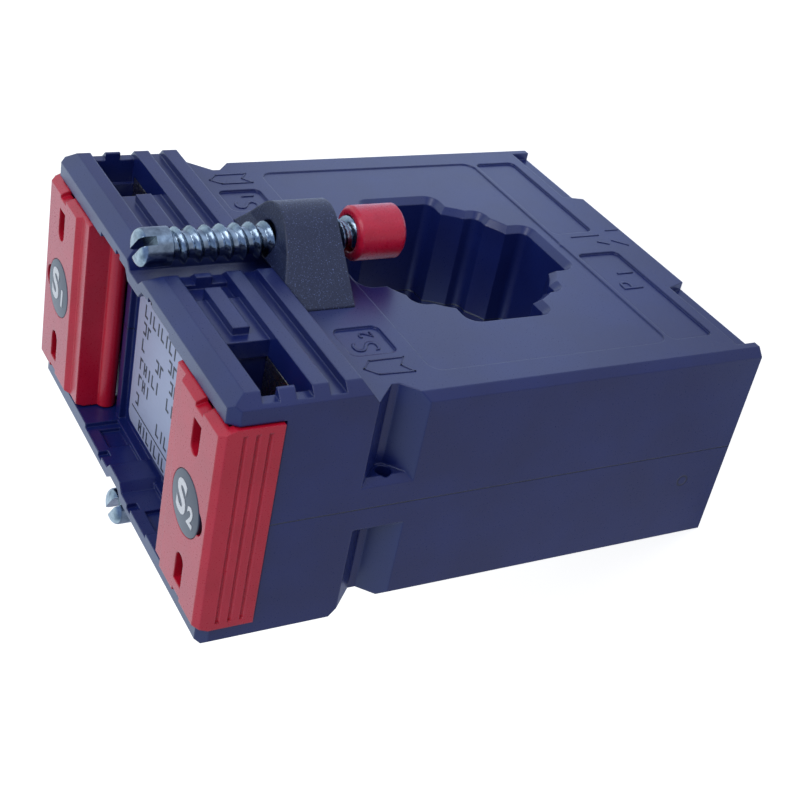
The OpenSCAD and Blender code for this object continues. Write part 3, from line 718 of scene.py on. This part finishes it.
class TRANSFORMER_OT_clamp_screws(Piece, bpy.types.Operator):
    """Makes the long clamp screws with their coarse threads"""

    bl_idname = "transformer.clamp_screws"
    bl_label = "Clamp screws"

    def execute(self, context):
        look = context.scene.transformer_look
        tree, sockets = thread_tree()
        steel = finish("clamp_screw")
        for end in ENDS:
            name = f"{end}_clamp_screw"
            low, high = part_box(name)
            axis = ((low.x + high.x) / 2, (low.y + high.y) / 2)
            head, top = (high.x - low.x) / 2, high.z
            thread_top = HEAD_UNDER + 0.0004
            rod = threaded(tree, sockets, axis, steel, Outer_Radius=CLAMP_RADIUS,
                           Core_Radius=CLAMP_RADIUS - CLAMP_THREAD, Pitch=look.clamp_pitch,
                           Length=thread_top - low.z, Top=thread_top, Crest_Share=0.62, Around=49, Along=280)
            profile = [(0, HEAD_UNDER), (head - 0.0002, HEAD_UNDER), (head, HEAD_UNDER + 0.0002),
                       (head, top - HEAD_ROUND)]
            profile += rounded_rim(head, top, HEAD_ROUND, (0.25, 0.5, 0.75, 1.0, 1.25))
            profile += [(head - HEAD_ROUND, top), (0, top)]
            slot = block((-0.006, -0.00055, top - 0.002), (0.006, 0.00055, top + 0.001))
            slot.transform(Matrix.Translation((*axis, 0)) @ Matrix.Rotation(SLOT_TURNS[end], 4, "Z"))
            solid = cut(turned(profile, 64, axis), slot, "clamp_head")
            piece = mesh_object(f"{name}_threaded", joined(f"{name}_threaded", [rod, solid], steel, 35))
            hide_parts(name)
            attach(piece, f"{end}_screw")
        return {"FINISHED"}


class TRANSFORMER_OT_terminals(Piece, bpy.types.Operator):
    """Makes the terminal screws and finishes the plates and rails they clamp"""

    bl_idname = "transformer.terminals"
    bl_label = "Terminals"

    def execute(self, context):
        look = context.scene.transformer_look
        tree, sockets = thread_tree()
        steel = finish("terminal_screw")
        coat([f"clamp_plate_{s}_{e}" for s in SIDES for e in ENDS], "clamp_plate")
        coat(["rail_s1", "rail_s2"], "rail")
        for side in SIDES:
            for end in ENDS:
                name = f"terminal_screw_{side}_{end}"
                low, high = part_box(name)
                axis = ((low.x + high.x) / 2, (low.y + high.y) / 2)
                head, top = (high.x - low.x) / 2, high.z
                under = top - TERMINAL_HEAD
                thread_top = under + 0.0003
                rod = threaded(tree, sockets, axis, steel, Outer_Radius=0.002, Core_Radius=0.00165,
                               Pitch=look.terminal_pitch, Length=thread_top - low.z, Top=thread_top,
                               Crest_Share=0.9, Around=33, Along=180)
                profile = [(0, under), (head - 0.0001, under), (head, under + 0.0001), (head, top - TERMINAL_ROUND)]
                profile += rounded_rim(head, top, TERMINAL_ROUND, (0.4, 0.8, 1.2)) + [(head - 0.0007, top), (0, top)]
                solid = turned(profile, 48, axis)
                # A long slot and a short one that crosses it.
                for half, deep, turn in ((0.005, 0.0012, 0.5), (0.0014, 0.0016, 2.07)):
                    slot = block((-half, -0.0005, top - deep), (half, 0.0005, top + 0.001))
                    slot.transform(Matrix.Translation((*axis, 0)) @ Matrix.Rotation(turn + axis[0] * 90, 4, "Z"))
                    solid = cut(solid, slot, "terminal_head")
                piece = mesh_object(f"{name}_threaded", joined(f"{name}_threaded", [rod, solid], steel, 35))
                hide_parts(name)
                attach(piece, f"screw_{side}_{end}")
        return {"FINISHED"}


class TRANSFORMER_OT_winding(Piece, bpy.types.Operator):
    """Finishes the core, its cups, the winding, its tape and the leads"""

    bl_idname = "transformer.winding"
    bl_label = "Core and winding"

    def execute(self, context):
        coat(["strip_core"], "core")
        coat(["front_core_cup", "rear_core_cup"], "cup")
        coat(["secondary_winding", "lead_s1", "lead_s2"], "copper")
        coat(["winding_tape"], "tape")
        return {"FINISHED"}


class TRANSFORMER_OT_label(Piece, bpy.types.Operator):
    """Finishes the label and prints plain fields on it"""

    bl_idname = "transformer.label"
    bl_label = "Rating label"

    def execute(self, context):
        coat(["rating_label"], "label")
        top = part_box("rating_label")[1].z
        bars = []

        def bar(x0, x1, y0, y1):
            bars.append(block((x0 * MM, y0 * MM, top), (x1 * MM, y1 * MM, top + INK_HEIGHT)))

        # Each row runs along -X.
        for y, fields in LABEL_ROWS:
            for start, stop in fields:
                x, step = start, 0
                while x - SIGN_LENGTH > stop:
                    for near, far, low, high in LABEL_SIGNS[(step + len(bars)) % len(LABEL_SIGNS)]:
                        bar(x - far, x - near, y + low, y + high)
                    x, step = x - SIGN_PITCH, step + 1
        bar(*LABEL_RULE)
        piece = mesh_object("label_print", joined("label_print", bars, finish("ink")))
        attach(piece, "housing")
        return {"FINISHED"}


class TRANSFORMER_OT_marks(Piece, bpy.types.Operator):
    """Raises the moulded terminal designations on the front and rear faces"""

    bl_idname = "transformer.marks"
    bl_label = "Moulded marks"

    def execute(self, context):
        marks = []
        for side in ENDS.values():
            # Marks stand upright on each face, and read from left to right as one looks at it.
            spin = Matrix.Identity(4) if side < 0 else Matrix.Rotation(math.pi, 4, "Z")
            upright = Matrix.Rotation(math.pi / 2, 4, "X")
            signs = [("P", -11.5, 7.95, 4.6), ("1" if side < 0 else "2", -8.3, 6.7, 3.8)]
            for x in (-1, 1):
                number = "1" if x * side < 0 else "2"
                signs += [("S", 17.9 * x - 0.9, 51.85, 5.0), (number, 17.9 * x + 1.5, 50.9, 2.7)]
            for words, x, z, size in signs:
                mesh = lettering(words, size * MM, 0.0001, -0.00003)
                mesh.transform(spin @ Matrix.Translation((x * MM, -PANEL_Y, z * MM)) @ upright)
                marks.append(mesh)
            for outline in MOULDED_OUTLINES:
                for (x0, z0), (x1, z1) in zip(outline, outline[1:]):
                    long = math.hypot(x1 - x0, z1 - z0)
                    stroke = block((-0.1 * MM, -STROKE_RISE * MM, -STROKE_HALF * MM),
                                   ((long + 0.1) * MM, 0, STROKE_HALF * MM))
                    turn = Matrix.Rotation(-math.atan2(z1 - z0, x1 - x0), 4, "Y")
                    stroke.transform(spin @ Matrix.Translation((x0 * MM, -FACE_Y, z0 * MM)) @ turn)
                    marks.append(stroke)
        piece = mesh_object("moulded_marks", joined("moulded_marks", marks, finish("housing")))
        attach(piece, "housing")
        return {"FINISHED"}


class TRANSFORMER_OT_stage(Piece, bpy.types.Operator):
    """Sets the floor, the soft light and the camera"""

    bl_idname = "transformer.stage"
    bl_label = "Stage"

    def execute(self, context):
        scene = context.scene
        stage = scene.transformer_stage
        floor_mesh = bpy.data.meshes.new("floor")
        floor_mesh.from_pydata([(-5, -5, 0), (5, -5, 0), (5, 5, 0), (-5, 5, 0)], [], [(0, 1, 2, 3)])
        floor = mesh_object("floor", floor_mesh, self.floor_material())
        floor.location.z = -0.00002
        self.world(scene, stage.ambient)
        aim = Vector((0, 0, 0.038))
        for name, energy, size, where in (("key_softbox", stage.key_power, 0.7, (-0.25, -0.75, 0.75)),
                                          ("fill_softbox", stage.fill_power, 0.6, (-0.8, 0.1, 0.35))):
            lamp = bpy.data.lights.new(name, "AREA")
            lamp.shape, lamp.size, lamp.energy, lamp.color = "SQUARE", size, energy, LIGHT_TINT
            thing = bpy.data.objects.new(name, lamp)
            scene.collection.objects.link(thing)
            thing.location = where
            thing.rotation_mode = "QUATERNION"
            thing.rotation_quaternion = (aim - Vector(where)).to_track_quat("-Z", "Y")
        lens = bpy.data.cameras.new("camera")
        lens.lens, lens.sensor_width = stage.lens, 36.0
        lens.clip_start, lens.clip_end = 0.01, 20.0
        camera = bpy.data.objects.new("camera", lens)
        scene.collection.objects.link(camera)
        right, up, back = (Vector(v).normalized() for v in CAMERA_AXES)
        turn = Matrix((right, up, back)).transposed().to_4x4()
        camera.matrix_world = Matrix.Translation(CAMERA_PLACE) @ turn
        scene.camera = camera
        scene.view_settings.view_transform = "Standard"
        return {"FINISHED"}

    def gloss_room(self, tree, far, stops, where, lean):
        """What gloss sees: a bluish room that changes along the direction lean, from -far to far."""
        across = add(tree, "ShaderNodeVectorMath", {0: where, 1: lean}, operation="DOT_PRODUCT")
        return ramp(tree, spread(tree, across.outputs["Value"], 0.0, 1.0, -far, far), *stops)

    def seen(self, tree):
        """Sockets that are 1 for the camera's rays, and 1 for rays off gloss or through glass."""
        ray = add(tree, "ShaderNodeLightPath").outputs
        return ray["Is Camera Ray"], math_node(tree, "MAXIMUM", ray["Is Glossy Ray"], ray["Is Transmission Ray"])

    def floor_material(self):
        """Pure white paper to the camera, a plain white to the light, a painted reflection to gloss, seen from above
        only.
        """
        material = bpy.data.materials.new("white_paper")
        material.use_nodes = True
        tree = material.node_tree
        tree.nodes.clear()
        camera, gloss = self.seen(tree)
        paper = add(tree, "ShaderNodeBsdfDiffuse", {"Color": (0.8, 0.8, 0.8, 1)})
        glow = add(tree, "ShaderNodeEmission", {"Strength": math_node(tree, "MULTIPLY", camera, 0.75)})
        # To gloss only, the floor glows as a painted reflection from just past the object to 0.12 m away; it is
        # darker far off and on the S2 side, where it is a painted shadow under the object.
        painted_shadow_tint, bright, far = (0.03, 0.06, 0.20, 1), (0.44, 0.60, 0.98, 1), (0.08, 0.14, 0.34, 1)
        stops = ((0.44, painted_shadow_tint), (0.56, bright), (0.74, bright), (0.86, far))
        room = self.gloss_room(tree, 0.25, stops, place(tree), (0.8, -0.6, 0.0))
        shine = add(tree, "ShaderNodeEmission", {"Color": room, "Strength": gloss})
        both = add(tree, "ShaderNodeAddShader", {0: glow.outputs[0], 1: shine.outputs[0]})
        both = add(tree, "ShaderNodeAddShader", {0: paper.outputs[0], 1: both.outputs[0]})
        under = add(tree, "ShaderNodeNewGeometry").outputs["Backfacing"]
        clear = add(tree, "ShaderNodeBsdfTransparent")
        out = add(tree, "ShaderNodeMixShader", {0: under, 1: both.outputs[0], 2: clear.outputs[0]})
        add(tree, "ShaderNodeOutputMaterial", {"Surface": out.outputs[0]})
        return material

    def world(self, scene, ambient):
        """White behind the object, a bluish room in its gloss, and a softer even light on it."""
        world = bpy.data.worlds.new("studio")
        scene.world = world
        world.use_nodes = True
        tree = world.node_tree
        tree.nodes.clear()
        camera, gloss = self.seen(tree)
        stops = ((0.25, (0.26, 0.36, 0.62, 1)), (0.75, (0.74, 0.87, 1.0, 1)))
        sky = add(tree, "ShaderNodeTexCoord").outputs["Generated"]
        room = self.gloss_room(tree, 0.9, stops, sky, (0.8, 0.6, 0.0))
        even = add(tree, "ShaderNodeBackground", {"Color": (*LIGHT_TINT, 1), "Strength": ambient})
        shine = add(tree, "ShaderNodeBackground", {"Color": room, "Strength": 1.35})
        white = add(tree, "ShaderNodeBackground", {"Color": (1, 1, 1, 1), "Strength": 1.0})
        light = add(tree, "ShaderNodeMixShader", {0: gloss, 1: even.outputs[0], 2: shine.outputs[0]})
        light = add(tree, "ShaderNodeMixShader", {0: camera, 1: light.outputs[0], 2: white.outputs[0]})
        add(tree, "ShaderNodeOutputWorld", {"Surface": light.outputs[0]})


OPERATORS = (TRANSFORMER_OT_housing, TRANSFORMER_OT_covers, TRANSFORMER_OT_markers, TRANSFORMER_OT_clamp_screws,
             TRANSFORMER_OT_terminals, TRANSFORMER_OT_winding, TRANSFORMER_OT_label, TRANSFORMER_OT_marks,
             TRANSFORMER_OT_stage)


class TRANSFORMER_PT_panel(bpy.types.Panel):
    """Lists the pieces and the settings in the sidebar"""

    bl_label = "Window current transformer"
    bl_space_type = "VIEW_3D"
    bl_region_type = "UI"
    bl_category = "Transformer"

    def draw(self, context):
        column = self.layout.column()
        for operator in OPERATORS:
            column.operator(operator.bl_idname)
        for group in (context.scene.transformer_look, context.scene.transformer_stage):
            for name in group.__annotations__:
                column.prop(group, name)


CLASSES = (TransformerLook, TransformerStage, *OPERATORS, TRANSFORMER_PT_panel)


def register():
    for cls in CLASSES:
        bpy.utils.register_class(cls)
    bpy.types.Scene.transformer_look = bpy.props.PointerProperty(type=TransformerLook)
    bpy.types.Scene.transformer_stage = bpy.props.PointerProperty(type=TransformerStage)


def unregister():
    del bpy.types.Scene.transformer_look
    del bpy.types.Scene.transformer_stage
    for cls in reversed(CLASSES):
        bpy.utils.unregister_class(cls)


def main():
    """Makes every piece in order."""
    register()
    for operator in OPERATORS:
        group, name = operator.bl_idname.split(".")
        getattr(getattr(bpy.ops, group), name)()


if __name__ == "__main__":
    main()
